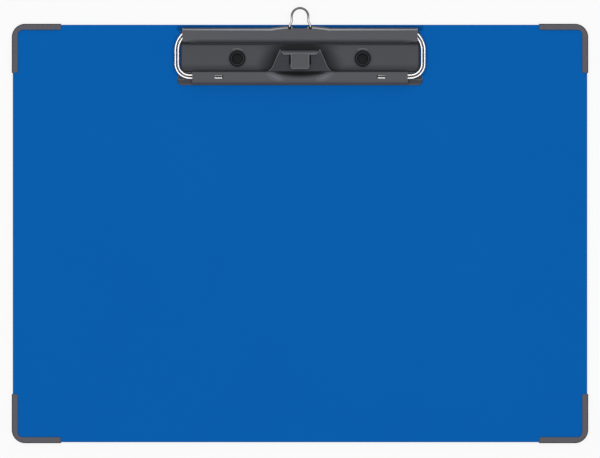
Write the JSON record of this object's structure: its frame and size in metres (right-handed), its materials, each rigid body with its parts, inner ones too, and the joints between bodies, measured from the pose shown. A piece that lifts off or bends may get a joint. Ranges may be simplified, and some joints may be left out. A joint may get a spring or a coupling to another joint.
{
  "type": "landscape clipboard",
  "caption": "Landscape clipboard: stiff wrapped board with corner guards and a pressed-steel spring clip that tips open by a finger lift, with a swinging wire hanging hook.",
  "frame": {"origin": "middle of the whole outline, on the surface that the board lies on (the undersides of the corner guards)", "axes": "+X along the board's long edges to the viewer's right, +Y across the board towards the clip and the hanging hook, +Z out of the writing face"},
  "size_m": [0.323, 0.2442, 0.017],
  "materials": {
    "core_board": "pressed grey board",
    "cover_sheet": "blue wrapping film, finely grained",
    "lining_sheet": "blue lining film, finely grained",
    "guard_plastic": "dark grey moulded plastic",
    "clip_sheet": "dark grey satin paint on pressed steel",
    "rivet_metal": "dark lacquered steel",
    "washer_metal": "plain zinc-coated steel",
    "spring_wire": "bright nickel-coated spring wire",
    "hook_wire": "bright nickel-coated wire"
  },
  "bodies": {
    "board": {"board_core": "core_board", "front_cover": "cover_sheet", "back_lining": "lining_sheet", "guard_top_left": "guard_plastic", "guard_top_right": "guard_plastic", "guard_bottom_left": "guard_plastic", "guard_bottom_right": "guard_plastic", "clip_base": "clip_sheet", "rivet_left": "rivet_metal", "rivet_right": "rivet_metal", "rivet_washer_left": "washer_metal", "rivet_washer_right": "washer_metal"},
    "springs": {"spring_wire_outer": "spring_wire", "spring_wire_inner": "spring_wire"},
    "jaw": {"jaw_plate": "clip_sheet"},
    "hook": {"hanging_hook": "hook_wire"}
  },
  "joints": [
    {"name": "spring_swing", "type": "hinge", "parent": "board", "child": "springs", "pos_m": [0, 0.10652, 0.0071], "axis": [-1, 0, 0], "range_deg": [0, 14], "stiffness_Nm_per_rad": 0.2, "springref_deg": -28.65},
    {"name": "jaw_tilt", "type": "hinge", "parent": "springs", "child": "jaw", "pos_m": [0, 0.08317, 0.00705], "axis": [-1, 0, 0], "range_deg": [0, 28], "stiffness_Nm_per_rad": 0.02, "springref_deg": -17.19},
    {"name": "hook_swing", "type": "hinge", "parent": "board", "child": "hook", "pos_m": [0, 0.1088, 0.0071], "axis": [1, 0, 0], "range_deg": [0, 40]}
  ]
}
